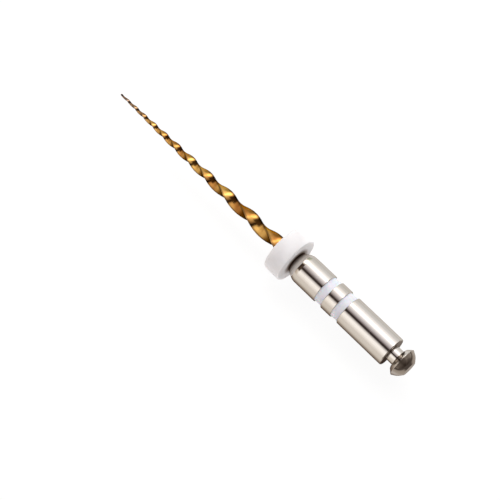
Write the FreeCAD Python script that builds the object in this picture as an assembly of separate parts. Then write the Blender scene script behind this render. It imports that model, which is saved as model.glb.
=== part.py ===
"""Engine-driven endodontic file with a latch-type handle.

The tool's axis is X.  The cutting tip points to -X and the latch end to +X.
The origin is on the axis, in the plane of the handle's rear shoulder.
All sizes are in millimetres.
"""
import FreeCAD
import Part
import math
import os

from FreeCAD import Vector

# Overall sizes
WORKING_LENGTH = 19.0        # tip to the front of the handle
BODY_LENGTH = 9.47           # front of the handle to its rear shoulder
SHANK_DIAMETER = 2.35        # latch-type shank

# Cutting file
TIP_DIAMETER = 0.17          # circle through the three edges at the tip
TIP_LENGTH = 0.14            # rounded, non-cutting end
TIP_FLAT_RADIUS = 0.02       # left in the middle of the rounded end
TAPER_AT_TIP = 0.072         # growth of the diameter per millimetre of length
TAPER_AT_SHAFT = 0.050
TAPER_LENGTH = 16.6          # over which the taper eases from one to the other
SHAFT_DIAMETER = 1.24        # the wire that the file is ground from
PITCH_AT_TIP = 2.38          # length of one whole turn of an edge
PITCH_AT_SHAFT = 8.0
PITCH_LENGTH = 15.6          # over which the pitch opens
EDGE_COUNT = 3
EDGE_ANGLE_AT_TIP = 25.0     # degrees about X, from +Y towards +Z
FLANK_RATIO = 0.575          # middle of a flank from the axis, over the edge's radius
RUNOUT_LENGTH = 1.1          # over which the flutes fade into the round shaft
RUNOUT_SETBACK = 0.25        # end of the run-out to the front of the handle
SECTION_TURN = 15.0          # degrees of twist from one section to the next
RUNOUT_SECTIONS = 8          # evenly spaced along the run-out

# Joint of file and handle
BORE_DEPTH = 5.2
BORE_POINT_ANGLE = 118.0     # full angle of the drill's point
BOND_FILM = 0.03             # thickness of the adhesive all round
TANG_END_GAP = 0.2           # end of the tang to the bottom of the bore
BOND_MOUTH_GAP = 0.08        # adhesive stops this short of the bore's mouth

# Handle
NOSE_WALL = 0.17             # round the bore's mouth
NOSE_LENGTH = 0.74
NOSE_ROUND = 0.10
NOSE_SHOULDER_ROUND = 1.0
SHOULDER_ROUND = 0.10
NECK_DIAMETER = 1.22
NECK_LENGTH = 0.63           # rear shoulder to the front of the head
NECK_ROUND = 0.06
HEAD_RELIEF = 0.01           # head's rim below the shank's surface
HEAD_FRONT_DIAMETER = 1.72   # of the head's front, before its rounding
HEAD_RIM_DISTANCE = 0.35     # head's front to its widest circle
HEAD_FRONT_ROUND = 0.20
HEAD_LENGTH = 1.03
HEAD_END_DIAMETER = 1.16
HEAD_CROWN = 0.09            # bulge of the head's back over a straight cone
HEAD_CROWN_ROUND = 1.0
FLAT_DEPTH = 0.30            # drive flat below the shank's surface
FLAT_LENGTH = 1.9            # along the shank, from the rear shoulder forward

# Colour bands
BAND_COUNT = 2
BAND_START = 2.95            # front of the handle to the first band
BAND_PITCH = 1.60
BAND_WIDTH = 0.65
BAND_RECESS = 0.08           # band's edges below the shank's surface
BAND_SAG = 0.02              # hollow of the band's surface between its edges
BAND_THICKNESS = 0.13        # at the edges
GROOVE_EDGE_ROUND = 0.03

# Depth stop
STOP_DIAMETER = 3.70
STOP_THICKNESS = 1.46
STOP_FRONT_ROUND = 0.18
STOP_BACK_ROUND = 0.05
STOP_HOLE_ROUND = 0.05
STOP_FIT = 0.02              # radial, over the shaft
STOP_GAP = 0.02              # to the front of the handle at rest

# Places along X
NOSE_X = -BODY_LENGTH
TIP_X = NOSE_X - WORKING_LENGTH
TANG_END_X = NOSE_X + BORE_DEPTH - TANG_END_GAP
RUNOUT_END_X = NOSE_X - RUNOUT_SETBACK
HEAD_X = NECK_LENGTH
END_X = HEAD_X + HEAD_LENGTH

# Radii
SHANK_RADIUS = SHANK_DIAMETER / 2
SHAFT_RADIUS = SHAFT_DIAMETER / 2
BORE_RADIUS = SHAFT_RADIUS + BOND_FILM
HEAD_RADIUS = SHANK_RADIUS - HEAD_RELIEF
BAND_RADIUS = SHANK_RADIUS - BAND_RECESS
GROOVE_RADIUS = BAND_RADIUS - BAND_THICKNESS

AXIS = Vector(1, 0, 0)
ORIGIN = Vector(0, 0, 0)


def rounded_outline(corners):
    """Closed wire through corners (x, radius, rounding), each rounding a tangent arc.

    A rounding takes up at most half of the shorter wall beside it.
    """
    places = [Vector(x, 0, radius) for x, radius, _ in corners]
    bends = []
    for i, (_, _, rounding) in enumerate(corners):
        here = places[i]
        back = places[i - 1] - here
        ahead = places[(i + 1) % len(places)] - here
        if rounding == 0:
            bends.append((here, None, here))
            continue
        wall = min(back.Length, ahead.Length)
        half_angle = back.getAngle(ahead) / 2
        rounding = min(rounding, wall / 2 * math.tan(half_angle))
        reach = rounding / math.tan(half_angle)
        back.normalize()
        ahead.normalize()
        inward = (back + ahead).normalize()
        middle = here + inward * (rounding / math.sin(half_angle) - rounding)
        bends.append((here + back * reach, middle, here + ahead * reach))
    edges = []
    for i, (start, middle, end) in enumerate(bends):
        if middle is not None:
            edges.append(Part.Arc(start, middle, end).toShape())
        edges.append(Part.makeLine(end, bends[(i + 1) % len(bends)][0]))
    return Part.Wire(edges)


def turned(corners):
    """Solid turned about the tool's axis from an outline in the XZ plane."""
    return Part.Face(rounded_outline(corners)).revolve(ORIGIN, AXIS, 360)


def rod(start_x, end_x, radius):
    return Part.makeCylinder(radius, end_x - start_x, Vector(start_x, 0, 0), AXIS)


def edge_radius(z):
    """Radius of the cutting edges at z from the tip: rounded end, easing taper, wire's size."""
    easing = (TAPER_AT_TIP - TAPER_AT_SHAFT) * min(z, TAPER_LENGTH) ** 2 / (2 * TAPER_LENGTH)
    past = max(0.0, z - TAPER_LENGTH) * (TAPER_AT_TIP - TAPER_AT_SHAFT)
    radius = (TIP_DIAMETER + TAPER_AT_TIP * z - easing - past) / 2
    if z < TIP_LENGTH:
        full = (TIP_DIAMETER + TAPER_AT_TIP * TIP_LENGTH) / 2
        rise = math.sqrt(1 - (1 - z / TIP_LENGTH) ** 2)
        radius = TIP_FLAT_RADIUS + (full - TIP_FLAT_RADIUS) * rise
    return min(radius, SHAFT_RADIUS)


def edge_angle(z):
    """Angle of the first edge at z: the integral of a turning rate that eases with z squared."""
    slow = 360 / PITCH_AT_SHAFT
    extra = 360 / PITCH_AT_TIP - slow
    left = max(0.0, 1 - z / PITCH_LENGTH)
    return EDGE_ANGLE_AT_TIP + slow * z + extra * PITCH_LENGTH / 3 * (1 - left ** 3)


def flank_ratio(z, runout_end):
    """Share of the edge's radius at the middle of a flank: constant, then up to 1 in the run-out."""
    t = min(1.0, max(0.0, (z - runout_end + RUNOUT_LENGTH) / RUNOUT_LENGTH))
    return FLANK_RATIO + (1 - FLANK_RATIO) * t * t * (3 - 2 * t)


def blade_section(z, runout_end):
    """Closed wire of one convex arc per flank, square to the axis at z from the tip."""
    radius = edge_radius(z)
    middle_radius = radius * flank_ratio(z, runout_end)
    step = 2 * math.pi / EDGE_COUNT
    first = math.radians(edge_angle(z))

    def point(angle, distance):
        return Vector(TIP_X + z, distance * math.cos(angle), distance * math.sin(angle))

    arcs = []
    for i in range(EDGE_COUNT):
        edge = first + i * step
        arcs.append(Part.Arc(point(edge, radius), point(edge + step / 2, middle_radius),
                             point(edge + step, radius)).toShape())
    return Part.Wire(arcs)


def place_of_angle(angle, furthest):
    """Distance from the tip where the first edge has turned to an angle, by halving."""
    low, high = 0.0, furthest
    for _ in range(40):
        middle = (low + high) / 2
        if edge_angle(middle) < angle:
            low = middle
        else:
            high = middle
    return high


def section_places(runout_end):
    """Distances from the tip: close on the rounded end, by twist along the flutes, then even."""
    places = [TIP_LENGTH * share for share in (0.0, 0.1, 0.3, 0.6, 1.0)]
    runout_start = runout_end - RUNOUT_LENGTH
    turn = edge_angle(runout_start) - edge_angle(TIP_LENGTH)
    count = math.ceil(turn / SECTION_TURN)
    for i in range(1, count + 1):
        places.append(place_of_angle(edge_angle(TIP_LENGTH) + turn * i / count, runout_start))
    for i in range(1, RUNOUT_SECTIONS + 1):
        places.append(runout_start + RUNOUT_LENGTH * i / RUNOUT_SECTIONS)
    return places


def cutting_file():
    """Twisted tapered blade, round shaft and the tang inside the handle, as one piece of wire."""
    runout_end = RUNOUT_END_X - TIP_X
    sections = [blade_section(z, runout_end) for z in section_places(runout_end)]
    blade = Part.makeLoft(sections, True, False)
    shaft = rod(RUNOUT_END_X, TANG_END_X, SHAFT_RADIUS)
    return blade.fuse(shaft)


def band_start(i):
    return NOSE_X + BAND_START + i * BAND_PITCH


def handle_outline():
    """Outer outline from the nose to the end of the head, with the band grooves."""
    nose_radius = BORE_RADIUS + NOSE_WALL
    corners = [
        (NOSE_X, 0.0, 0),
        (NOSE_X, nose_radius, NOSE_ROUND),
        (NOSE_X + NOSE_LENGTH, SHANK_RADIUS, NOSE_SHOULDER_ROUND),
    ]
    for i in range(BAND_COUNT):
        front = band_start(i)
        back = front + BAND_WIDTH
        corners += [
            (front, SHANK_RADIUS, GROOVE_EDGE_ROUND),
            (front, GROOVE_RADIUS, 0),
            (back, GROOVE_RADIUS, 0),
            (back, SHANK_RADIUS, GROOVE_EDGE_ROUND),
        ]
    rim = Vector(HEAD_X + HEAD_RIM_DISTANCE, 0, HEAD_RADIUS)
    end = Vector(END_X, 0, HEAD_END_DIAMETER / 2)
    slope = (end - rim).normalize()
    crown = (rim + end) / 2 + Vector(-slope.z, 0, slope.x) * HEAD_CROWN
    corners += [
        (0.0, SHANK_RADIUS, SHOULDER_ROUND),
        (0.0, NECK_DIAMETER / 2, NECK_ROUND),
        (HEAD_X, NECK_DIAMETER / 2, NECK_ROUND),
        (HEAD_X, HEAD_FRONT_DIAMETER / 2, HEAD_FRONT_ROUND),
        (rim.x, rim.z, 0),
        (crown.x, crown.z, HEAD_CROWN_ROUND),
        (end.x, end.z, 0),
        (END_X, 0.0, 0),
    ]
    return corners


def latch_handle():
    """Turned handle with a drilled blind bore and a milled drive flat underneath."""
    handle = turned(handle_outline())
    drill = rod(NOSE_X - 1, NOSE_X + BORE_DEPTH, BORE_RADIUS)
    point_length = BORE_RADIUS / math.tan(math.radians(BORE_POINT_ANGLE / 2))
    point = Part.makeCone(BORE_RADIUS, 0, point_length, Vector(NOSE_X + BORE_DEPTH, 0, 0), AXIS)
    cutter = Part.makeBox(FLAT_LENGTH + END_X + 1, SHANK_DIAMETER + 2, SHANK_DIAMETER,
                          Vector(-FLAT_LENGTH, -SHANK_RADIUS - 1,
                                 FLAT_DEPTH - SHANK_RADIUS - SHANK_DIAMETER))
    return handle.cut(drill.fuse(point)).cut(cutter)


def colour_band(i):
    """Band that fills its groove from side to side, with a surface hollow like dried enamel's."""
    front = band_start(i)
    back = front + BAND_WIDTH
    inner_front, inner_back = Vector(front, 0, GROOVE_RADIUS), Vector(back, 0, GROOVE_RADIUS)
    outer_front, outer_back = Vector(front, 0, BAND_RADIUS), Vector(back, 0, BAND_RADIUS)
    hollow = Vector((front + back) / 2, 0, BAND_RADIUS - BAND_SAG)
    outline = Part.Wire([
        Part.makeLine(inner_front, outer_front),
        Part.Arc(outer_front, hollow, outer_back).toShape(),
        Part.makeLine(outer_back, inner_back),
        Part.makeLine(inner_back, inner_front),
    ])
    return Part.Face(outline).revolve(ORIGIN, AXIS, 360)


def depth_stop():
    """Thick disc with rounded rims and a hole that slides over the shaft."""
    back = NOSE_X - STOP_GAP
    front = back - STOP_THICKNESS
    hole = SHAFT_RADIUS + STOP_FIT
    return turned([
        (front, hole, STOP_HOLE_ROUND),
        (front, STOP_DIAMETER / 2, STOP_FRONT_ROUND),
        (back, STOP_DIAMETER / 2, STOP_BACK_ROUND),
        (back, hole, STOP_HOLE_ROUND),
    ])


def bond_sleeve():
    """Adhesive film between the tang and the wall of the bore."""
    start = NOSE_X + BOND_MOUTH_GAP
    return rod(start, TANG_END_X, BORE_RADIUS).cut(rod(start - 1, TANG_END_X + 1, SHAFT_RADIUS))


def nodes():
    return {
        "cutting_file": cutting_file(),
        "latch_handle": latch_handle(),
        "front_band": colour_band(0),
        "rear_band": colour_band(1),
        "depth_stop": depth_stop(),
        "bond_sleeve": bond_sleeve(),
    }


os.makedirs("parts", exist_ok=True)
for name, shape in nodes().items():
    if not shape.isValid() or len(shape.Solids) != 1:
        raise ValueError(name + " is not one valid solid")
    shape.Solids[0].exportStep("parts/" + name + ".step")
    box = shape.BoundBox
    print(name, round(shape.Volume, 4), round(box.XMin, 3), round(box.XMax, 3), round(box.ZMax, 3))
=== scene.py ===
"""Engine-driven endodontic file with a latch-type handle: the visual model.

The tool's axis is X, with the cutting tip towards -X and the latch end towards +X.  The origin is
on the axis, in the plane of the handle's rear shoulder.  Sizes are written in millimetres and
meshes are made in metres.  Angles about the axis run from +Y towards +Z.
"""

import math

import bpy
import numpy as np
from mathutils import Matrix, Vector


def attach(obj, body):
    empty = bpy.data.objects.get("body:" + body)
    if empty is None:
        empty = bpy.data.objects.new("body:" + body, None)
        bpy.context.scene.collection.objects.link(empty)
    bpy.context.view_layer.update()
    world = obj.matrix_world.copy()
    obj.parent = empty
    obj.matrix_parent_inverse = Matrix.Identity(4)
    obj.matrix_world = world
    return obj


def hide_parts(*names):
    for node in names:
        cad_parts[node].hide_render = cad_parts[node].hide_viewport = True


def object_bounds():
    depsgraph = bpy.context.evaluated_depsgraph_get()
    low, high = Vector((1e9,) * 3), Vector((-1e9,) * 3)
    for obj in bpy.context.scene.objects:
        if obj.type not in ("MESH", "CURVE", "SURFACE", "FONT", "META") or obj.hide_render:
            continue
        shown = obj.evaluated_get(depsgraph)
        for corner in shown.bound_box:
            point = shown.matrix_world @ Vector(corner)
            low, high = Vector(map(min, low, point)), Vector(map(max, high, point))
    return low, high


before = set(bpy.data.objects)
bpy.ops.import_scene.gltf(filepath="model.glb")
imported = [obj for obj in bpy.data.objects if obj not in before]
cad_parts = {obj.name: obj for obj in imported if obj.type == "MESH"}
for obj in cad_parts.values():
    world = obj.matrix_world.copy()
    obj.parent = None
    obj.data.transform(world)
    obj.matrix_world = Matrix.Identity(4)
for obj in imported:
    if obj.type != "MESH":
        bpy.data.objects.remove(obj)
cad_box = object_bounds()

MM = 0.001


# ---------------------------------------------------------------------------------------------
# Studio.  A pale floor under the lowest rim of the depth stop, a soft light tent with two wide
# panels over the tool and a narrow gap between them, a lamp and a weaker fill lamp that polished
# parts don't see, and one camera.
# ---------------------------------------------------------------------------------------------
CAMERA_AIM = Vector((-12.72, 0.0, 0.0)) * MM
CAMERA_DISTANCE = 90.364 * MM
CAMERA_RIGHT = -1.075 * MM
CAMERA_UP = -1.348 * MM
CAMERA_AZIMUTH = math.radians(46.41)
CAMERA_ELEVATION = math.radians(66.707)
CAMERA_LENS = 90.0
FLOOR_HALF_SIDE = 400.0 * MM
FLOOR_COLOUR = (0.93, 0.925, 0.92, 1.0)
FLOOR_LIFT = 0.30
# What polished parts see of the floor: millimetres across the axis, level.  It holds a painted
# shadow, dim under the tool and on the side away from the lamp.
FLOOR_SEEN_PAINTED_SHADOW = [
    (-12.0, (0.80, 0.75, 0.70)),
    (-5.5, (0.77, 0.72, 0.66)),
    (-3.8, (0.66, 0.60, 0.54)),
    (-2.7, (0.44, 0.38, 0.33)),
    (-1.7, (0.24, 0.19, 0.16)),
    (-0.3, (0.10, 0.07, 0.06)),
    (0.6, (0.14, 0.11, 0.09)),
    (1.5, (0.46, 0.42, 0.40)),
    (2.8, (0.80, 0.78, 0.77)),
    (4.5, (0.88, 0.87, 0.86)),
    (9.0, (0.76, 0.75, 0.74)),
    (12.0, (0.70, 0.69, 0.68)),
]
FLOOR_SEEN_SPAN = 12.0 * MM
# The same painted shadow behind the latch end: millimetres along the axis, level.  It takes over
# from the levels across the axis between the two places of FLOOR_END_FROM.
FLOOR_END_FROM = (0.9 * MM, 1.9 * MM)
FLOOR_END_PAINTED_SHADOW = [
    (0.0, (0.64, 0.60, 0.58)),
    (2.0, (0.62, 0.58, 0.56)),
    (3.4, (0.44, 0.39, 0.35)),
    (5.5, (0.38, 0.33, 0.29)),
    (9.0, (0.19, 0.16, 0.14)),
    (12.0, (0.08, 0.065, 0.055)),
]
# Share of plain white in what the camera sees of the floor
FLOOR_VEIL = 0.88
# Light of the tent round the tool's axis: degrees from straight over the camera side, level.
TENT_LEVELS = [
    (-180, (0.30, 0.27, 0.24)),
    (-90, (0.80, 0.75, 0.70)),
    (-72, (0.82, 0.76, 0.71)),
    (-58, (1.00, 0.95, 0.91)),
    (-46, (1.18, 1.14, 1.11)),
    (-33, (1.22, 1.18, 1.16)),
    (-24, (0.95, 0.91, 0.90)),
    (-17, (0.50, 0.46, 0.45)),
    (-12, (0.05, 0.04, 0.035)),
    (-2, (0.03, 0.02, 0.02)),
    (4, (0.24, 0.20, 0.20)),
    (14, (0.56, 0.52, 0.54)),
    (28, (0.92, 0.88, 0.90)),
    (37, (1.35, 1.31, 1.33)),
    (49, (2.80, 2.76, 2.72)),
    (61, (1.45, 1.42, 1.42)),
    (72, (1.12, 1.09, 1.10)),
    (92, (0.78, 0.77, 0.77)),
    (180, (0.30, 0.27, 0.24)),
]
# The same towards the cutting end, where the gap between the panels is wider.  It takes over
# between the two cosines to +X of TENT_TIP_FROM.
TENT_TIP_LEVELS = [
    (-180, (0.30, 0.26, 0.22)),
    (-120, (0.50, 0.44, 0.38)),
    (-90, (0.70, 0.63, 0.56)),
    (-60, (0.82, 0.75, 0.68)),
    (-42, (1.00, 0.93, 0.86)),
    (-36, (0.45, 0.40, 0.36)),
    (-29, (0.10, 0.07, 0.05)),
    (18, (0.07, 0.05, 0.04)),
    (27, (0.55, 0.50, 0.45)),
    (40, (1.90, 1.86, 1.80)),
    (51, (2.80, 2.76, 2.70)),
    (63, (1.50, 1.48, 1.40)),
    (84, (0.62, 0.66, 0.56)),
    (115, (0.42, 0.47, 0.38)),
    (180, (0.30, 0.26, 0.22)),
]
TENT_TIP_FROM = (-0.24, -0.33)
# Grey that the panels run out into towards the latch end, between two cosines to +X
TENT_END_GREY = (0.52, 0.47, 0.43)
TENT_END_FROM = (0.35, 0.62)
TENT_END_SHARE = 0.8
# Share of that light towards the two ends of the axis: cosine to +X, share.
TENT_ENDS = [
    (-1.0, (0.20, 0.16, 0.13)),
    (-0.78, (0.34, 0.29, 0.25)),
    (-0.58, (0.74, 0.70, 0.66)),
    (-0.30, (1.00, 1.00, 1.00)),
    (0.32, (1.00, 1.00, 1.00)),
    (0.55, (0.42, 0.38, 0.35)),
    (0.80, (0.14, 0.12, 0.105)),
    (1.0, (0.07, 0.055, 0.045)),
]
TENT_LEVEL_MAX = 3.0
LAMP_FROM = Vector((-0.55, 0.46, 0.70))
LAMP_GLOW = 1.1
LAMP_GLOW_FROM = (0.93, 1.0)
LAMP_DISTANCE = 120.0 * MM
LAMP_SIDE = 80.0 * MM
LAMP_POWER = 0.052
FILL_FROM = Vector((0.80, -0.30, 0.52))
FILL_POWER = 0.036
TENT_OVER = Vector((0.0, -0.285, 0.958))
TENT_SIDE = Vector((0.0, 0.958, 0.285))
BACKDROP_COLOUR = (1.0, 1.0, 1.0, 1.0)


def wire(tree, *pairs):
    """Links each (from socket, to socket) pair in a node tree."""
    for source, target in pairs:
        tree.links.new(source, target)


def add_node(tree, kind, **values):
    """New node of a kind, with its settings given by name."""
    made = tree.nodes.new("ShaderNode" + kind)
    for name, value in values.items():
        setattr(made, name, value)
    return made


def smooth_step(tree, low, high, top=1.0):
    """Node whose result rises smoothly from 0, for a value of low, to top, for a value of high."""
    step = add_node(tree, "MapRange", interpolation_type="SMOOTHSTEP")
    step.inputs["From Min"].default_value = low
    step.inputs["From Max"].default_value = high
    step.inputs["To Max"].default_value = top
    return step


def build_camera():
    """Camera on the line from the aim point at the given azimuth and elevation, with no roll."""
    level = math.cos(CAMERA_ELEVATION)
    back = Vector((
        math.sin(CAMERA_AZIMUTH) * level,
        -math.cos(CAMERA_AZIMUTH) * level,
        math.sin(CAMERA_ELEVATION),
    ))
    right = Vector((0, 0, 1)).cross(back).normalized()
    up = back.cross(right)
    lens = bpy.data.cameras.new("camera")
    lens.lens = CAMERA_LENS
    lens.sensor_width = 36.0
    lens.clip_start = 1.0 * MM
    lens.clip_end = 5000.0 * MM
    camera = bpy.data.objects.new("camera", lens)
    turn = Matrix((right, up, back)).transposed().to_4x4()
    place = CAMERA_AIM + back * CAMERA_DISTANCE + right * CAMERA_RIGHT + up * CAMERA_UP
    camera.matrix_world = Matrix.Translation(place) @ turn
    bpy.context.scene.collection.objects.link(camera)
    bpy.context.scene.camera = camera


def build_floor():
    """Square floor that touches the lowest point of the object."""
    height = cad_box[0][2]
    mesh = bpy.data.meshes.new("floor")
    s = FLOOR_HALF_SIDE
    mesh.from_pydata([(-s, -s, height), (s, -s, height), (s, s, height), (-s, s, height)],
                     [], [(0, 1, 2, 3)])
    floor = bpy.data.objects.new("floor", mesh)
    bpy.context.scene.collection.objects.link(floor)
    mesh.materials.append(floor_paper())


def fill_ramp(tree, levels, low, high, brightest):
    """Colour ramp through (place, colour) levels; low and high are the ramp's two ends."""
    ramp = add_node(tree, "ValToRGB")
    ramp.color_ramp.interpolation = "EASE"
    stops = ramp.color_ramp.elements
    while len(stops) < len(levels):
        stops.new(0.5)
    for stop, (place, colour) in zip(stops, levels):
        stop.position = (place - low) / (high - low)
        stop.color = (*[c / brightest for c in colour], 1.0)
    return ramp


def floor_paper():
    """Pale paper, which the camera sees nearly white and without shadows.

    Polished parts see an emission in its place instead: the levels across the tool and behind it,
    a painted shadow under the tool and behind its latch end.
    """
    paper = bpy.data.materials.new("floor_paper")
    paper.use_nodes = True
    tree = paper.node_tree
    shader = tree.nodes["Principled BSDF"]
    shader.inputs["Base Color"].default_value = FLOOR_COLOUR
    shader.inputs["Roughness"].default_value = 0.9
    shader.inputs["Specular IOR Level"].default_value = 0.2
    shader.inputs["Emission Color"].default_value = (1.0, 0.995, 0.99, 1.0)
    shader.inputs["Emission Strength"].default_value = FLOOR_LIFT
    place = add_node(tree, "TexCoord")
    split = add_node(tree, "SeparateXYZ")
    across = add_node(tree, "MapRange")
    across.inputs["From Min"].default_value = -FLOOR_SEEN_SPAN
    across.inputs["From Max"].default_value = FLOOR_SEEN_SPAN
    ramp = fill_ramp(tree, FLOOR_SEEN_PAINTED_SHADOW, -FLOOR_SEEN_SPAN / MM, FLOOR_SEEN_SPAN / MM, 1.0)
    beyond = smooth_step(tree, *FLOOR_END_FROM)
    level = add_node(tree, "Mix", data_type="RGBA")
    far = add_node(tree, "MapRange")
    far.inputs["From Max"].default_value = FLOOR_SEEN_SPAN
    end_ramp = fill_ramp(tree, FLOOR_END_PAINTED_SHADOW, 0.0, FLOOR_SEEN_SPAN / MM, 1.0)
    # The camera sees a nearly shadowless paper
    pale = add_node(tree, "Emission")
    pale.inputs["Color"].default_value = (1.0, 1.0, 1.0, 1.0)
    veil = add_node(tree, "Math", operation="MULTIPLY")
    veil.inputs[1].default_value = FLOOR_VEIL
    seen = add_node(tree, "MixShader")
    # Painted shadow on the floor, which polished parts see in place of the paper
    glossy_floor_painted_shadow = add_node(tree, "Emission")
    path = add_node(tree, "LightPath")
    choice = add_node(tree, "MixShader")
    wire(
        tree,
        (place.outputs["Object"], split.inputs[0]),
        (split.outputs["Y"], across.inputs["Value"]),
        (across.outputs["Result"], ramp.inputs["Fac"]),
        (split.outputs["X"], beyond.inputs["Value"]),
        (beyond.outputs["Result"], level.inputs["Factor"]),
        (ramp.outputs["Color"], level.inputs["A"]),
        (split.outputs["X"], far.inputs["Value"]),
        (far.outputs["Result"], end_ramp.inputs["Fac"]),
        (end_ramp.outputs["Color"], level.inputs["B"]),
        (level.outputs["Result"], glossy_floor_painted_shadow.inputs["Color"]),
        (path.outputs["Is Camera Ray"], veil.inputs[0]),
        (veil.outputs[0], seen.inputs["Fac"]),
        (shader.outputs["BSDF"], seen.inputs[1]),
        (pale.outputs["Emission"], seen.inputs[2]),
        (path.outputs["Is Glossy Ray"], choice.inputs["Fac"]),
        (seen.outputs["Shader"], choice.inputs[1]),
        (glossy_floor_painted_shadow.outputs["Emission"], choice.inputs[2]),
        (choice.outputs["Shader"], tree.nodes["Material Output"].inputs["Surface"]),
    )
    return paper


def build_tent():
    """World light from the direction's angle about the tool's axis and its cosine to +X.

    The angle is atan2(direction . side, direction . over).  Its level comes from one table, or
    towards the tip from a second one, and runs out into a grey towards the latch end.  It is
    multiplied by the share for the cosine, and a soft round glow is added where the lamp is.  What
    the camera sees past the floor is plain white.
    """
    world = bpy.data.worlds.new("light_tent")
    world.use_nodes = True
    bpy.context.scene.world = world
    tree = world.node_tree
    tree.nodes.clear()
    direction = add_node(tree, "TexCoord").outputs["Generated"]
    parts = []
    for axis in (TENT_SIDE, TENT_OVER, Vector((1, 0, 0)), LAMP_FROM.normalized()):
        dot = add_node(tree, "VectorMath", operation="DOT_PRODUCT")
        dot.inputs[1].default_value = axis
        wire(tree, (direction, dot.inputs[0]))
        parts.append(dot.outputs["Value"])
    angle = add_node(tree, "Math", operation="ARCTAN2")
    share = add_node(tree, "MapRange")
    share.inputs["From Min"].default_value = -math.pi
    share.inputs["From Max"].default_value = math.pi
    round_axis = fill_ramp(tree, TENT_LEVELS, -180, 180, TENT_LEVEL_MAX)
    round_tip = fill_ramp(tree, TENT_TIP_LEVELS, -180, 180, TENT_LEVEL_MAX)
    to_tip = smooth_step(tree, *TENT_TIP_FROM)
    panels = add_node(tree, "Mix", data_type="RGBA")
    to_grey = smooth_step(tree, *TENT_END_FROM, TENT_END_SHARE)
    evened = add_node(tree, "Mix", data_type="RGBA")
    evened.inputs["B"].default_value = (*[c / TENT_LEVEL_MAX for c in TENT_END_GREY], 1.0)
    to_end = add_node(tree, "MapRange")
    to_end.inputs["From Min"].default_value = -1.0
    along = fill_ramp(tree, TENT_ENDS, -1.0, 1.0, 1.0)
    level = add_node(tree, "Mix", data_type="RGBA", blend_type="MULTIPLY")
    level.inputs["Factor"].default_value = 1.0
    glow = smooth_step(tree, *LAMP_GLOW_FROM, LAMP_GLOW / TENT_LEVEL_MAX)
    total = add_node(tree, "Mix", data_type="RGBA", blend_type="ADD")
    total.inputs["Factor"].default_value = 1.0
    light = add_node(tree, "Background")
    light.inputs["Strength"].default_value = TENT_LEVEL_MAX
    plain = add_node(tree, "Background")
    plain.inputs["Color"].default_value = BACKDROP_COLOUR
    seen = add_node(tree, "LightPath")
    choice = add_node(tree, "MixShader")
    output = add_node(tree, "OutputWorld")
    wire(
        tree,
        (parts[0], angle.inputs[0]),
        (parts[1], angle.inputs[1]),
        (angle.outputs[0], share.inputs["Value"]),
        (share.outputs["Result"], round_axis.inputs["Fac"]),
        (parts[2], to_end.inputs["Value"]),
        (to_end.outputs["Result"], along.inputs["Fac"]),
        (share.outputs["Result"], round_tip.inputs["Fac"]),
        (parts[2], to_tip.inputs["Value"]),
        (to_tip.outputs["Result"], panels.inputs["Factor"]),
        (round_axis.outputs["Color"], panels.inputs["A"]),
        (round_tip.outputs["Color"], panels.inputs["B"]),
        (parts[2], to_grey.inputs["Value"]),
        (to_grey.outputs["Result"], evened.inputs["Factor"]),
        (panels.outputs["Result"], evened.inputs["A"]),
        (evened.outputs["Result"], level.inputs["A"]),
        (along.outputs["Color"], level.inputs["B"]),
        (parts[3], glow.inputs["Value"]),
        (level.outputs["Result"], total.inputs["A"]),
        (glow.outputs["Result"], total.inputs["B"]),
        (total.outputs["Result"], light.inputs["Color"]),
        (seen.outputs["Is Camera Ray"], choice.inputs["Fac"]),
        (light.outputs["Background"], choice.inputs[1]),
        (plain.outputs["Background"], choice.inputs[2]),
        (choice.outputs["Shader"], output.inputs["Surface"]),
    )


def build_lamp(name, source, power):
    """Square soft lamp towards the axis; polished parts see the tent's panels and not the lamp."""
    data = bpy.data.lights.new(name, "AREA")
    data.size = LAMP_SIDE
    data.energy = power
    lamp = bpy.data.objects.new(name, data)
    lamp.location = source.normalized() * LAMP_DISTANCE
    lamp.rotation_euler = source.to_track_quat("Z", "Y").to_euler()
    lamp.visible_glossy = False
    bpy.context.scene.collection.objects.link(lamp)


build_camera()
build_floor()
build_tent()
build_lamp("soft_lamp", LAMP_FROM, LAMP_POWER)
build_lamp("fill_lamp", FILL_FROM, FILL_POWER)
bpy.context.scene.view_settings.view_transform = "Standard"


# ---------------------------------------------------------------------------------------------
# Cutting file.  One nickel-titanium wire: three edges ground along a helix that opens from the
# blunt tip to the shaft, then heat-tinted gold.  Its smooth end is the tang inside the handle.
# ---------------------------------------------------------------------------------------------
TIP_X = -28.47
TIP_DIAMETER = 0.17
TIP_LENGTH = 0.14
TIP_FLAT_RADIUS = 0.02
TAPER_AT_TIP = 0.072
TAPER_AT_SHAFT = 0.050
TAPER_LENGTH = 16.6
SHAFT_RADIUS = 0.62
PITCH_AT_TIP = 2.38
PITCH_AT_SHAFT = 8.0
PITCH_LENGTH = 15.6
EDGE_ANGLE_AT_TIP = 25.0
FLANK_RATIO = 0.575
RUNOUT_LENGTH = 1.1
RUNOUT_END = 18.75
TANG_END = 24.0
FLANK_POINTS = 28
END_RINGS = 10
BLADE_RINGS = 620
SHAFT_RINGS = 25
SHARP_ANGLE = math.radians(28)
GOLD = (0.82, 0.49, 0.14, 1.0)
AMBER = (0.46, 0.19, 0.045, 1.0)
BARE_WIRE = (0.25, 0.21, 0.19, 1.0)
BARE_REACH = (0.2, 4.5)       # from the tip
BARE_SHARE = 0.85
# Painted dark reflection along the cutting edges of each flank
EDGE_PAINTED_DARK = (0.15, 0.095, 0.035, 1.0)
EDGE_DARK_FROM = (0.32, 0.50)      # from the middle of a flank, whose edges are at 0.5
EDGE_DARK_SHARE = 0.88


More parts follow.
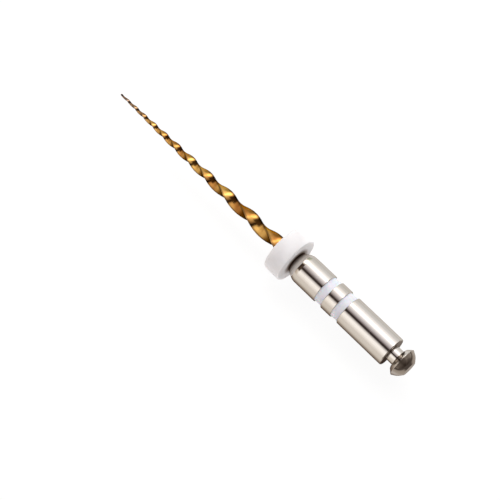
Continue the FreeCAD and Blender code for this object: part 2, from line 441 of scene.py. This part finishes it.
def skin(name, points, uv, looped):
    """Mesh of a tube that is closed round its axis, from rings of points.

    points[i, j] is point j of ring i; the last column repeats the first, and in a looped tube
    the last ring repeats the first ring.  Otherwise each end ring is closed by a fan to its
    centre.  uv holds a pair in millimetres for each point.
    """
    rows, columns = points.shape[0] - 1, points.shape[1] - 1
    rings = rows if looped else rows + 1
    i, j = np.meshgrid(np.arange(rows), np.arange(columns), indexing="ij")
    ring = np.stack([i, i, i + 1, i + 1], axis=-1).reshape(-1, 4)
    column = np.stack([j, j + 1, j + 1, j], axis=-1).reshape(-1, 4)
    corners = ((ring % rings) * columns + column % columns).ravel()
    corner_uv = uv[ring, column].reshape(-1, 2)
    sides = np.full(len(ring), 4)
    vertices = points[:rings, :columns].reshape(-1, 3)
    if not looped:
        k = np.arange(columns)
        for row, order in ((0, (1, 0)), (rows, (0, 1))):
            centre = np.full(columns, len(vertices))
            fan = np.stack([centre, row * columns + (k + order[0]) % columns,
                            row * columns + (k + order[1]) % columns], axis=-1)
            middle = uv[row, :columns] * (0.5, 1.0)
            fan_uv = np.stack([middle, uv[row, k + order[0]], uv[row, k + order[1]]], axis=1)
            vertices = np.vstack([vertices, points[row, :columns].mean(axis=0)])
            corners = np.concatenate([corners, fan.ravel()])
            corner_uv = np.vstack([corner_uv, fan_uv.reshape(-1, 2)])
            sides = np.concatenate([sides, np.full(columns, 3)])
    mesh = bpy.data.meshes.new(name)
    mesh.vertices.add(len(vertices))
    mesh.vertices.foreach_set("co", (vertices * MM).ravel().astype(np.float32))
    mesh.loops.add(len(corners))
    mesh.loops.foreach_set("vertex_index", corners.astype(np.int32))
    mesh.polygons.add(len(sides))
    starts = np.concatenate([[0], np.cumsum(sides)[:-1]])
    mesh.polygons.foreach_set("loop_start", starts.astype(np.int32))
    layer = mesh.uv_layers.new(name="surface_mm")
    layer.data.foreach_set("uv", corner_uv.ravel().astype(np.float32))
    mesh.update(calc_edges=True)
    mesh.validate()
    mesh.shade_smooth()
    mesh.set_sharp_from_angle(angle=SHARP_ANGLE)
    return mesh


def add_piece(name, mesh, body, slot, material, *nodes):
    """Object for a finished mesh: its material, the body it rides, the CAD it shows; slot is not
    used.
    """
    piece = bpy.data.objects.new(name, mesh)
    bpy.context.scene.collection.objects.link(piece)
    mesh.materials.append(material)
    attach(piece, body)
    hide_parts(*nodes)


def edge_radius(z):
    """Radius of the cutting edges at z from the tip.

    Elliptical rounded end, then a taper whose rate eases evenly, up to the radius of the wire.
    """
    ease = TAPER_AT_TIP - TAPER_AT_SHAFT
    eased = ease * np.minimum(z, TAPER_LENGTH) ** 2 / (2 * TAPER_LENGTH)
    past = np.maximum(0.0, z - TAPER_LENGTH) * ease
    radius = (TIP_DIAMETER + TAPER_AT_TIP * z - eased - past) / 2
    full = (TIP_DIAMETER + TAPER_AT_TIP * TIP_LENGTH) / 2
    rise = np.sqrt(1 - (1 - np.minimum(z / TIP_LENGTH, 1.0)) ** 2)
    rounded_end = TIP_FLAT_RADIUS + (full - TIP_FLAT_RADIUS) * rise
    return np.minimum(np.where(z < TIP_LENGTH, rounded_end, radius), SHAFT_RADIUS)


def edge_angle(z):
    """Angle of the first edge at z: the integral of a turning rate that eases with z squared."""
    slow = 360 / PITCH_AT_SHAFT
    extra = 360 / PITCH_AT_TIP - slow
    left = np.maximum(0.0, 1 - z / PITCH_LENGTH)
    turned = np.minimum(z, RUNOUT_END)
    return np.radians(EDGE_ANGLE_AT_TIP + slow * turned + extra * PITCH_LENGTH / 3 * (1 - left ** 3))


def file_mesh():
    """Rings across the wire.

    Each flank is a circular arc through an edge, the middle of the flank and the next edge.  With
    edge radius R and mid-flank radius m, its centre is on the mid-flank ray at
    c = (m m - R R) / (2 m - R), its radius is m - c, and it meets the ray at an angle a from the
    middle at c cos a + sqrt((m - c)^2 - (c sin a)^2).
    """
    end = TIP_LENGTH * (1 - np.cos(np.linspace(0, math.pi / 2, END_RINGS)))
    flutes = np.linspace(TIP_LENGTH, RUNOUT_END, BLADE_RINGS)[1:]
    shaft = np.linspace(RUNOUT_END, TANG_END, SHAFT_RINGS)[1:]
    z = np.concatenate([end, flutes, shaft])
    fade = np.clip((z - RUNOUT_END + RUNOUT_LENGTH) / RUNOUT_LENGTH, 0, 1)
    ratio = FLANK_RATIO + (1 - FLANK_RATIO) * fade * fade * (3 - 2 * fade)
    radius = edge_radius(z)[:, None]
    middle = radius * ratio[:, None]
    centre = (middle ** 2 - radius ** 2) / (2 * middle - radius)
    across = np.linspace(-math.pi / 3, math.pi / 3, FLANK_POINTS + 1)
    sine = np.sin(across)[None, :]
    reach = centre * np.cos(across) + np.sqrt((middle - centre) ** 2 - (centre * sine) ** 2)
    reach = np.concatenate([np.tile(reach[:, :-1], 3), reach[:, :1]], axis=1)
    offset = np.linspace(0, 2 * math.pi, 3 * FLANK_POINTS + 1)
    angle = edge_angle(z)[:, None] + offset[None, :]
    along = np.broadcast_to((TIP_X + z)[:, None], angle.shape)
    points = np.stack([along, reach * np.cos(angle), reach * np.sin(angle)], axis=-1)
    share = np.broadcast_to(offset * 3 / (2 * math.pi), angle.shape)
    return skin("cutting_file_wire", points, np.stack([share, along], axis=-1), False)


def new_group(name, inputs, outputs):
    """Shader group with float sockets of the given names, and its input and output nodes."""
    group = bpy.data.node_groups.new(name, "ShaderNodeTree")
    for names, side in ((inputs, "INPUT"), (outputs, "OUTPUT")):
        for socket in names:
            group.interface.new_socket(socket, in_out=side, socket_type="NodeSocketFloat")
    return group, group.nodes.new("NodeGroupInput"), group.nodes.new("NodeGroupOutput")


def lines_group():
    """Shader group for fine tool marks that run along a surface's first coordinate.

    Two stretched noises, one at the given pitch and one six times wider, are added.  Height is
    the profile of the marks and Tone their broad bands, both from 0 to 1.
    """
    group, given, result = new_group(
        "tool_marks", ("Across", "Along", "Marks per mm", "Length mm"), ("Height", "Tone"))
    dense = add_node(group, "Math", operation="MULTIPLY")
    short = add_node(group, "Math", operation="DIVIDE")
    place = add_node(group, "CombineXYZ")
    fine = add_node(group, "TexNoise")
    fine.inputs["Scale"].default_value = 1.0
    fine.inputs["Detail"].default_value = 2.0
    broad = add_node(group, "TexNoise")
    broad.inputs["Scale"].default_value = 0.16
    broad.inputs["Detail"].default_value = 3.0
    both = add_node(group, "Mix", data_type="FLOAT")
    both.inputs["Factor"].default_value = 0.35
    wire(
        group,
        (given.outputs["Across"], dense.inputs[0]),
        (given.outputs["Marks per mm"], dense.inputs[1]),
        (given.outputs["Along"], short.inputs[0]),
        (given.outputs["Length mm"], short.inputs[1]),
        (dense.outputs[0], place.inputs["X"]),
        (short.outputs[0], place.inputs["Y"]),
        (place.outputs[0], fine.inputs["Vector"]),
        (place.outputs[0], broad.inputs["Vector"]),
        (fine.outputs["Fac"], both.inputs["A"]),
        (broad.outputs["Fac"], both.inputs["B"]),
        (both.outputs["Result"], result.inputs["Height"]),
        (broad.outputs["Fac"], result.inputs["Tone"]),
    )
    return group


def patches_group():
    """Shader group for soft patches such as tint, film or handling, on Object coordinates.

    Noise of the given size is stretched between two limits, so Mask is mostly 0 or 1 with soft
    borders.
    """
    group, given, result = new_group("soft_patches", ("Size mm", "Low", "High"), ("Mask",))
    place = add_node(group, "TexCoord")
    scale = add_node(group, "Math", operation="DIVIDE")
    scale.inputs[0].default_value = 1 / MM
    noise = add_node(group, "TexNoise")
    noise.inputs["Detail"].default_value = 3.0
    span = add_node(group, "MapRange", interpolation_type="SMOOTHSTEP")
    wire(
        group,
        (given.outputs["Size mm"], scale.inputs[1]),
        (scale.outputs[0], noise.inputs["Scale"]),
        (place.outputs["Object"], noise.inputs["Vector"]),
        (noise.outputs["Fac"], span.inputs["Value"]),
        (given.outputs["Low"], span.inputs["From Min"]),
        (given.outputs["High"], span.inputs["From Max"]),
        (span.outputs["Result"], result.inputs["Mask"]),
    )
    return group


TOOL_MARKS = lines_group()
SOFT_PATCHES = patches_group()


def use_group(tree, group, **values):
    """Places a shader group in a material and sets its inputs; underscores stand for spaces."""
    made = tree.nodes.new("ShaderNodeGroup")
    made.node_tree = group
    for name, value in values.items():
        made.inputs[name.replace("_", " ")].default_value = value
    return made


def new_material(name, **values):
    """Material with a Principled shader, whose plain sockets are set by name."""
    material = bpy.data.materials.new(name)
    material.use_nodes = True
    shader = material.node_tree.nodes["Principled BSDF"]
    for key, value in values.items():
        shader.inputs[key.replace("_", " ")].default_value = value
    return material, material.node_tree, shader


def tint(tree, factor, first, second):
    """Mix of two colours by a factor socket; each is a socket or a plain colour."""
    mix = add_node(tree, "Mix", data_type="RGBA")
    wire(tree, (factor, mix.inputs["Factor"]))
    for socket, colour in ((mix.inputs["A"], first), (mix.inputs["B"], second)):
        if isinstance(colour, tuple):
            socket.default_value = colour
        else:
            wire(tree, (colour, socket))
    return mix.outputs["Result"]


def spread(tree, value, low, high):
    """Value socket mapped smoothly from 0..1 to low..high."""
    span = add_node(tree, "MapRange", interpolation_type="SMOOTHSTEP")
    span.inputs["To Min"].default_value = low
    span.inputs["To Max"].default_value = high
    wire(tree, (value, span.inputs["Value"]))
    return span.outputs["Result"]


def relief(tree, shader, height, depth_mm):
    """Bump of a height socket, its depth in millimetres, into the shader's normal."""
    bump = add_node(tree, "Bump")
    bump.inputs["Distance"].default_value = depth_mm * MM
    wire(tree, (height, bump.inputs["Height"]), (bump.outputs["Normal"], shader.inputs["Normal"]))


def heat_tinted_wire():
    """Ground nickel-titanium: straw gold to amber oxide in patches; painted dark reflections at the
    edges.
    """
    material, tree, shader = new_material("heat_tinted_nickel_titanium", Metallic=1.0,
                                          Specular_Tint=(0.42, 0.32, 0.20, 1.0))
    uv = add_node(tree, "UVMap", uv_map="surface_mm")
    place = add_node(tree, "SeparateXYZ")
    marks = use_group(tree, TOOL_MARKS, Marks_per_mm=38.0, Length_mm=0.9)
    patches = use_group(tree, SOFT_PATCHES, Size_mm=1.6, Low=0.38, High=0.68)
    fine = use_group(tree, SOFT_PATCHES, Size_mm=0.25, Low=0.35, High=0.7)
    # Share of the way from the middle of a flank to its edges
    flank = add_node(tree, "Math", operation="FRACT")
    off_middle = add_node(tree, "Math", operation="SUBTRACT")
    off_middle.inputs[1].default_value = 0.5
    to_edge = add_node(tree, "Math", operation="ABSOLUTE")
    edge = smooth_step(tree, *EDGE_DARK_FROM)
    wire(
        tree,
        (uv.outputs["UV"], place.inputs[0]),
        (place.outputs["Y"], marks.inputs["Across"]),
        (place.outputs["X"], marks.inputs["Along"]),
        (place.outputs["X"], flank.inputs[0]),
        (flank.outputs[0], off_middle.inputs[0]),
        (off_middle.outputs[0], to_edge.inputs[0]),
        (to_edge.outputs[0], edge.inputs["Value"]),
    )
    # The tint thins towards the tip, where the wire is ground last
    tip = smooth_step(tree, TIP_X + BARE_REACH[1], TIP_X + BARE_REACH[0], BARE_SHARE)
    wire(tree, (place.outputs["Y"], tip.inputs["Value"]))
    oxide = tint(tree, patches.outputs["Mask"], GOLD, AMBER)
    # Painted dark reflection towards the edges of each flank
    edge_darkened = tint(tree, spread(tree, edge.outputs["Result"], 0.0, EDGE_DARK_SHARE), oxide, EDGE_PAINTED_DARK)
    bare = tint(tree, tip.outputs["Result"], edge_darkened, BARE_WIRE)
    streaked = tint(tree, spread(tree, marks.outputs["Tone"], 0.0, 0.35), bare, AMBER)
    wire(tree, (streaked, shader.inputs["Base Color"]))
    wire(tree, (spread(tree, fine.outputs["Mask"], 0.09, 0.16), shader.inputs["Roughness"]))
    relief(tree, shader, marks.outputs["Height"], 0.0035)
    return material


add_piece("cutting_file_wire", file_mesh(), "file_and_handle", "nickel_titanium",
          heat_tinted_wire(), "cutting_file")


# ---------------------------------------------------------------------------------------------
# Bond film.  Cured resin between the tang and the wall of the bore, a few hundredths of a
# millimetre thick; only its ring shows, just inside the handle's mouth.
# ---------------------------------------------------------------------------------------------
RESIN = (0.62, 0.50, 0.30, 1.0)
RESIN_DARK = (0.42, 0.31, 0.17, 1.0)


def cured_resin():
    """Amber resin with faint cloudy patches and a slightly uneven gloss."""
    material, tree, shader = new_material("cured_resin", IOR=1.52, Subsurface_Weight=0.15,
                                          Subsurface_Scale=0.0002)
    cloud = use_group(tree, SOFT_PATCHES, Size_mm=0.4, Low=0.35, High=0.65)
    wire(
        tree,
        (tint(tree, cloud.outputs["Mask"], RESIN, RESIN_DARK), shader.inputs["Base Color"]),
        (spread(tree, cloud.outputs["Mask"], 0.25, 0.45), shader.inputs["Roughness"]),
    )
    relief(tree, shader, cloud.outputs["Mask"], 0.002)
    return material


def dress_node(name, material):
    """Gives a CAD node that stays in view its finish through the object's material slots."""
    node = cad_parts[name]
    if not node.material_slots:
        node.data.materials.append(material)
    for place in node.material_slots:
        place.link = "OBJECT"
        place.material = material


dress_node("bond_sleeve", cured_resin())


# ---------------------------------------------------------------------------------------------
# Latch handle.  Turned from brass bar with two shallow grooves, a neck and a button head, bored
# for the tang, milled flat underneath for the drive, then bright nickel plated all over.
# ---------------------------------------------------------------------------------------------
NOSE_X = -9.47
SHANK_RADIUS = 1.175
BORE_RADIUS = 0.65
BORE_DEPTH = 5.2
BORE_POINT_ANGLE = 118.0
GROOVES = [(-6.52, -5.87), (-4.92, -4.27)]
GROOVE_RADIUS = 0.965
FLAT_START_X = -1.9
FLAT_DISTANCE = 0.875
HANDLE_OUTLINE = [            # (x, radius, rounding), from the bottom of the bore to the end
    (NOSE_X + BORE_DEPTH, BORE_RADIUS, 0.0),
    (NOSE_X, BORE_RADIUS, 0.015),
    (NOSE_X, 0.82, 0.10),
    (-8.73, SHANK_RADIUS, 1.0),
    (GROOVES[0][0], SHANK_RADIUS, 0.04),
    (GROOVES[0][0], GROOVE_RADIUS, 0.0),
    (GROOVES[0][1], GROOVE_RADIUS, 0.0),
    (GROOVES[0][1], SHANK_RADIUS, 0.04),
    (GROOVES[1][0], SHANK_RADIUS, 0.04),
    (GROOVES[1][0], GROOVE_RADIUS, 0.0),
    (GROOVES[1][1], GROOVE_RADIUS, 0.0),
    (GROOVES[1][1], SHANK_RADIUS, 0.04),
    (0.0, SHANK_RADIUS, 0.10),
    (0.0, 0.61, 0.06),
    (0.63, 0.61, 0.06),
    (0.63, 0.86, 0.20),
    (0.98, 1.165, 0.02),
    (1.379, 0.941, 1.0),
    (1.66, 0.58, 0.02),
    (1.66, 0.05, 0.0),
]
FLAT_COLUMNS = 48
ROUND_COLUMNS = 144
FLAT_SPREAD_MIN = 0.04
FLAT_RING_STEP = 0.03
FLAT_STEP_SPREAD = 0.004      # rings this close on both sides of the flat's step
BORE_POINT_SHARE = 0.96       # of the drilled point's depth, to its last ring
BORE_POINT_END = 0.04         # of the bore's radius, at that ring
ARC_POINTS = 13
RUN_STEP = 0.3
RUN_END_STEP = 0.008
NICKEL = (0.80, 0.765, 0.72, 1.0)
NICKEL_WARM = (0.74, 0.685, 0.615, 1.0)
# Painted shade at the nose beside the stop and in the corner of the latch groove
PAINTED_SHADE = (0.085, 0.055, 0.040, 1.0)
NOSE_SHADE_REACH = (0.06, 0.52)
CORNER_X = 0.04
CORNER_SHADE_REACH = (0.03, 0.09)
CORNER_SHADE_SHARE = 0.65


def rounded_profile(outline, closed=False):
    """Points (x, radius) along an outline, with a tangent arc at each rounded corner.

    A rounding takes at most half of the shorter wall.  Straight runs get points close to their
    ends and at even steps, so that smooth shading stays true to the surface.
    """
    corners = [np.array(corner[:2], dtype=float) for corner in outline]
    count = len(corners)
    runs = []
    for k, (here, (_, _, rounding)) in enumerate(zip(corners, outline)):
        if rounding == 0 or (not closed and k in (0, count - 1)):
            runs.append(here[None, :])
            continue
        back = corners[k - 1] - here
        ahead = corners[(k + 1) % count] - here
        wall = min(np.linalg.norm(back), np.linalg.norm(ahead))
        back = back / np.linalg.norm(back)
        ahead = ahead / np.linalg.norm(ahead)
        half = math.acos(float(back @ ahead)) / 2
        radius = min(rounding, wall / 2 * math.tan(half))
        inward = (back + ahead) / np.linalg.norm(back + ahead)
        middle = here + inward * radius / math.sin(half)
        sweep = np.linspace(-1, 1, ARC_POINTS)[:, None] * (math.pi / 2 - half)
        side = (ahead - back) / np.linalg.norm(ahead - back)
        runs.append(middle + radius * (-inward * np.cos(sweep) + side * np.sin(sweep)))
    if closed:
        runs.append(runs[0][:1])
    points = [runs[0]]
    for before, after in zip(runs, runs[1:]):
        gap = after[0] - before[-1]
        length = float(np.linalg.norm(gap))
        near = min(RUN_END_STEP, length / 8) / length
        inner = np.linspace(near, 1 - near, max(2, int(length / RUN_STEP) + 2))[:, None]
        points += [before[-1] + gap * inner, after]
    return np.vstack(points).T


def turned_skin(name, x, radius, angle, looped):
    """Mesh of rings (x, radius) about the axis; uv is along the outline and round the axis."""
    across = np.concatenate([[0], np.cumsum(np.hypot(np.diff(x), np.diff(radius[:, 0])))])
    along = np.broadcast_to(x[:, None], radius.shape)
    points = np.stack([along, radius * np.cos(angle), radius * np.sin(angle)], axis=-1)
    uv = np.stack([np.broadcast_to(across[:, None], radius.shape), angle + radius * 0], axis=-1)
    return skin(name, points, uv, looped)


def handle_mesh():
    """Turned outline cut by the drive flat.

    The flat is the plane at a distance d below the axis, so behind its step the radius at an
    angle a is the smaller of the outline's and d / -sin a.  The columns of a ring are shared out
    so that two of them run exactly along the borders of the flat, at acos(d / radius) each side
    of straight down.
    """
    point = BORE_RADIUS / math.tan(math.radians(BORE_POINT_ANGLE / 2))
    x, profile = rounded_profile(HANDLE_OUTLINE)
    x = np.concatenate([[NOSE_X + BORE_DEPTH + point * BORE_POINT_SHARE], x])
    profile = np.concatenate([[BORE_RADIUS * BORE_POINT_END], profile])
    outside = np.arange(len(x)) > np.argmin(x)
    step = np.flatnonzero(outside & (x > FLAT_START_X))[0]
    x = np.insert(x, step, [FLAT_START_X - FLAT_STEP_SPREAD, FLAT_START_X, FLAT_START_X,
                            FLAT_START_X + FLAT_STEP_SPREAD])
    profile = np.insert(profile, step, [SHANK_RADIUS] * 4)
    tip = np.argmin(x)
    half = np.arccos(np.minimum(1.0, FLAT_DISTANCE / profile))
    half = np.where(np.arange(len(x)) > tip, np.maximum(half, FLAT_SPREAD_MIN), half[step])
    # More rings where the borders close in on a sloping wall
    rings = [np.array([0.0])]
    for k in range(len(x) - 1):
        sloping = k > step and abs(x[k + 1] - x[k]) > 1e-6
        count = 1 + int(sloping * abs(half[k + 1] - half[k]) / FLAT_RING_STEP)
        spread_over = np.linspace(half[k], half[k + 1], count + 1)[1:]
        if count == 1:
            rings.append(np.array([k + 1.0]))
            continue
        reached = FLAT_DISTANCE / np.cos(spread_over)
        reached[-1] = profile[k + 1]
        share = (reached - profile[k]) / (profile[k + 1] - profile[k])
        rings.append(k + np.clip(share, 0, 1))
    rings = np.concatenate(rings)
    order = np.arange(len(x))
    x, profile = np.interp(rings, order, x), np.interp(rings, order, profile)
    half = np.interp(rings, order, half)
    outer = rings > tip
    half = np.where(outer, np.maximum(np.arccos(np.minimum(1.0, FLAT_DISTANCE / profile)),
                                      FLAT_SPREAD_MIN), half)
    milled = rings >= step + 2
    below = -math.pi / 2
    flat = below + half[:, None] * np.linspace(-1, 1, FLAT_COLUMNS + 1)[None, :]
    rest = below + half[:, None] + (2 * math.pi - 2 * half[:, None]) * np.linspace(
        0, 1, ROUND_COLUMNS + 1)[None, 1:]
    angle = np.concatenate([flat, rest], axis=1)
    to_flat = FLAT_DISTANCE / np.maximum(-np.sin(angle), 1e-6)
    radius = np.broadcast_to(profile[:, None], angle.shape)
    radius = np.where(milled[:, None], np.minimum(radius, to_flat), radius)
    return turned_skin("latch_handle_shell", x, radius, angle, False)


def turned_place(tree):
    """Object place as the socket pair (distance along the axis plus distance off it, angle)."""
    place = add_node(tree, "TexCoord")
    mm = add_node(tree, "VectorMath", operation="SCALE")
    mm.inputs["Scale"].default_value = 1 / MM
    split = add_node(tree, "SeparateXYZ")
    off = add_node(tree, "Math", operation="ARCTAN2")
    square = add_node(tree, "CombineXYZ")
    length = add_node(tree, "VectorMath", operation="LENGTH")
    total = add_node(tree, "Math", operation="ADD")
    wire(
        tree,
        (place.outputs["Object"], mm.inputs[0]),
        (mm.outputs["Vector"], split.inputs[0]),
        (split.outputs["Y"], square.inputs["Y"]),
        (split.outputs["Z"], square.inputs["Z"]),
        (square.outputs[0], length.inputs[0]),
        (split.outputs["X"], total.inputs[0]),
        (length.outputs["Value"], total.inputs[1]),
        (split.outputs["Z"], off.inputs[0]),
        (split.outputs["Y"], off.inputs[1]),
    )
    return total.outputs[0], off.outputs[0]


def nickel_plate():
    """Bright plate that keeps the turning marks under it, with faint warm and handled patches."""
    material, tree, shader = new_material("bright_nickel_plate", Metallic=1.0,
                                          Specular_Tint=(0.62, 0.58, 0.54, 1.0))
    across, along = turned_place(tree)
    marks = use_group(tree, TOOL_MARKS, Marks_per_mm=16.0, Length_mm=40.0)
    warm = use_group(tree, SOFT_PATCHES, Size_mm=2.2, Low=0.40, High=0.72)
    handled = use_group(tree, SOFT_PATCHES, Size_mm=0.5, Low=0.42, High=0.78)
    wire(tree, (across, marks.inputs["Across"]), (along, marks.inputs["Along"]))
    plate = tint(tree, spread(tree, warm.outputs["Mask"], 0.0, 0.6), NICKEL, NICKEL_WARM)
    streaked = tint(tree, spread(tree, marks.outputs["Tone"], 0.0, 0.40), plate, NICKEL_WARM)
    # Painted shade at the nose, where the stop presses on it, and in the corner of the latch groove
    front = add_node(tree, "TexCoord")
    off_nose = add_node(tree, "SeparateXYZ")
    nose_shade = smooth_step(tree, (NOSE_X + NOSE_SHADE_REACH[1]) * MM, (NOSE_X + NOSE_SHADE_REACH[0]) * MM)
    wire(
        tree,
        (front.outputs["Object"], off_nose.inputs[0]),
        (off_nose.outputs["X"], nose_shade.inputs["Value"]),
    )
    off_corner = add_node(tree, "Math", operation="SUBTRACT")
    off_corner.inputs[1].default_value = CORNER_X * MM
    from_corner = add_node(tree, "Math", operation="ABSOLUTE")
    corner = smooth_step(tree, CORNER_SHADE_REACH[1] * MM, CORNER_SHADE_REACH[0] * MM, CORNER_SHADE_SHARE)
    painted_shade_mask = add_node(tree, "Math", operation="MAXIMUM")
    wire(
        tree,
        (off_nose.outputs["X"], off_corner.inputs[0]),
        (off_corner.outputs[0], from_corner.inputs[0]),
        (from_corner.outputs[0], corner.inputs["Value"]),
        (nose_shade.outputs["Result"], painted_shade_mask.inputs[0]),
        (corner.outputs["Result"], painted_shade_mask.inputs[1]),
    )
    # Painted shade mixed into the plate's colour
    shade_painted = tint(tree, painted_shade_mask.outputs[0], streaked, PAINTED_SHADE)
    wire(tree, (shade_painted, shader.inputs["Base Color"]))
    wire(tree, (spread(tree, handled.outputs["Mask"], 0.075, 0.14), shader.inputs["Roughness"]))
    relief(tree, shader, marks.outputs["Height"], 0.0014)
    return material


add_piece("latch_handle_shell", handle_mesh(), "file_and_handle", "nickel_plate",
          nickel_plate(), "latch_handle")


# ---------------------------------------------------------------------------------------------
# Colour bands.  Two rings of white enamel run into the handle's grooves and cured, so that their
# surface is slightly hollow from edge to edge and a little below the plate.
# ---------------------------------------------------------------------------------------------
BAND_EDGE_RADIUS = 1.095
BAND_SAG = 0.02
BAND_NAMES = ["front_band", "rear_band"]
ENAMEL = (0.82, 0.83, 0.90, 1.0)
ENAMEL_SHADE = (0.74, 0.75, 0.83, 1.0)
BAND_COLUMNS = 160


def band_mesh(name, front, back):
    """Closed ring: groove floor, both walls, and a surface that sags as a parabola."""
    outline = [
        (front, GROOVE_RADIUS, 0.0),
        (front, BAND_EDGE_RADIUS, 0.0),
        (back, BAND_EDGE_RADIUS, 0.0),
        (back, GROOVE_RADIUS, 0.0),
    ]
    x, radius = rounded_profile(outline, closed=True)
    on_top = np.isclose(radius, BAND_EDGE_RADIUS)
    middle = (x - front) * (back - x) / ((back - front) / 2) ** 2
    radius = np.where(on_top, radius - BAND_SAG * middle, radius)
    angle = np.linspace(0, 2 * math.pi, BAND_COLUMNS + 1)[None, :]
    radius = np.broadcast_to(radius[:, None], (len(x), BAND_COLUMNS + 1))
    return turned_skin(name, x, radius, angle, True)


def white_enamel():
    """Cured enamel: cool white, faintly uneven in colour and gloss, with a soft orange peel."""
    material, tree, shader = new_material("white_enamel", IOR=1.5, Subsurface_Weight=0.2,
                                          Subsurface_Scale=0.0002, Coat_Weight=0.15,
                                          Coat_Roughness=0.15)
    cloud = use_group(tree, SOFT_PATCHES, Size_mm=0.9, Low=0.35, High=0.70)
    peel = use_group(tree, SOFT_PATCHES, Size_mm=0.16, Low=0.30, High=0.75)
    wire(
        tree,
        (tint(tree, cloud.outputs["Mask"], ENAMEL, ENAMEL_SHADE), shader.inputs["Base Color"]),
        (spread(tree, peel.outputs["Mask"], 0.32, 0.46), shader.inputs["Roughness"]),
    )
    relief(tree, shader, peel.outputs["Mask"], 0.0015)
    return material


enamel = white_enamel()
for band, (band_front, band_back) in zip(BAND_NAMES, GROOVES):
    add_piece(band + "_enamel", band_mesh(band + "_enamel", band_front, band_back),
              "file_and_handle", "band_enamel", enamel, band)


# ---------------------------------------------------------------------------------------------
# Depth stop.  A thick disc moulded in soft white silicone, with rounded rims and a small hole
# that grips the shaft, so that it can be pushed along to mark the working length.
# ---------------------------------------------------------------------------------------------
STOP_FRONT_X = -10.95
STOP_BACK_X = -9.49
STOP_RADIUS = 1.85
STOP_HOLE_RADIUS = 0.64
STOP_COLUMNS = 192
STOP_WAVE = 0.012
STOP_WAVE_SEED = 11
STOP_WAVE_TURNS = (2, 3, 5, 7)
STOP_WAVE_ALONG = 1.7         # radians per millimetre
SILICONE = (0.86, 0.86, 0.885, 1.0)
SILICONE_SHADE = (0.80, 0.795, 0.815, 1.0)
# Painted contact shadow on the stop's back face, round the hole
STOP_PAINTED_SHADOW = (0.30, 0.235, 0.195, 1.0)
STOP_SHADOW_REACH = (0.78, 1.30)
STOP_SHADOW_DEPTH = (0.02, 0.10)


def stop_mesh():
    """Closed ring with rounded rims; its outside dips by a few microns in slow seeded waves.

    The dip is a sum of cosines of the angle and of the place along the axis, never outwards, and
    it fades to nothing at the hole.
    """
    x, profile = rounded_profile([
        (STOP_FRONT_X, STOP_HOLE_RADIUS, 0.05),
        (STOP_FRONT_X, STOP_RADIUS, 0.19),
        (STOP_BACK_X, STOP_RADIUS, 0.09),
        (STOP_BACK_X, STOP_HOLE_RADIUS, 0.05),
    ], closed=True)
    angle = np.linspace(0, 2 * math.pi, STOP_COLUMNS + 1)[None, :]
    draw = np.random.default_rng(STOP_WAVE_SEED)
    wave = np.zeros((len(x), STOP_COLUMNS + 1))
    for turns in STOP_WAVE_TURNS:
        phase = draw.uniform(0, 2 * math.pi, 2)
        wave = wave + (1 + np.cos(turns * angle + phase[0] + STOP_WAVE_ALONG * x[:, None])) / turns
    reach = np.clip((profile - STOP_HOLE_RADIUS) / (STOP_RADIUS - STOP_HOLE_RADIUS), 0, 1)
    radius = profile[:, None] - STOP_WAVE * wave * reach[:, None] ** 2
    return turned_skin("depth_stop_disc", x, radius, angle, True)


def white_silicone():
    """Translucent matte silicone with a fine moulded grain and faint handling patches."""
    material, tree, shader = new_material("white_silicone", IOR=1.41, Subsurface_Weight=0.35,
                                          Subsurface_Scale=0.0005)
    shader.inputs["Subsurface Radius"].default_value = (1.0, 0.9, 0.85)
    cloud = use_group(tree, SOFT_PATCHES, Size_mm=1.1, Low=0.35, High=0.72)
    grain = use_group(tree, SOFT_PATCHES, Size_mm=0.07, Low=0.25, High=0.80)
    # Painted contact shadow on the back face, fading outwards from the hole
    place = add_node(tree, "TexCoord")
    split = add_node(tree, "SeparateXYZ")
    off_axis = add_node(tree, "CombineXYZ")
    length = add_node(tree, "VectorMath", operation="LENGTH")
    shadow_fade_out = smooth_step(tree, STOP_SHADOW_REACH[1] * MM, STOP_SHADOW_REACH[0] * MM)
    shadow_at_back = smooth_step(tree, (STOP_BACK_X - STOP_SHADOW_DEPTH[1]) * MM,
                          (STOP_BACK_X - STOP_SHADOW_DEPTH[0]) * MM)
    both = add_node(tree, "Math", operation="MULTIPLY")
    wire(
        tree,
        (place.outputs["Object"], split.inputs[0]),
        (split.outputs["Y"], off_axis.inputs["Y"]),
        (split.outputs["Z"], off_axis.inputs["Z"]),
        (off_axis.outputs[0], length.inputs[0]),
        (length.outputs["Value"], shadow_fade_out.inputs["Value"]),
        (split.outputs["X"], shadow_at_back.inputs["Value"]),
        (shadow_fade_out.outputs["Result"], both.inputs[0]),
        (shadow_at_back.outputs["Result"], both.inputs[1]),
    )
    unshadowed = tint(tree, cloud.outputs["Mask"], SILICONE, SILICONE_SHADE)
    # Painted contact shadow mixed over the silicone's own tone
    wire(
        tree,
        (tint(tree, both.outputs[0], unshadowed, STOP_PAINTED_SHADOW), shader.inputs["Base Color"]),
        (spread(tree, grain.outputs["Mask"], 0.55, 0.75), shader.inputs["Roughness"]),
    )
    relief(tree, shader, grain.outputs["Mask"], 0.002)
    return material


add_piece("depth_stop_disc", stop_mesh(), "stop", "silicone", white_silicone(), "depth_stop")
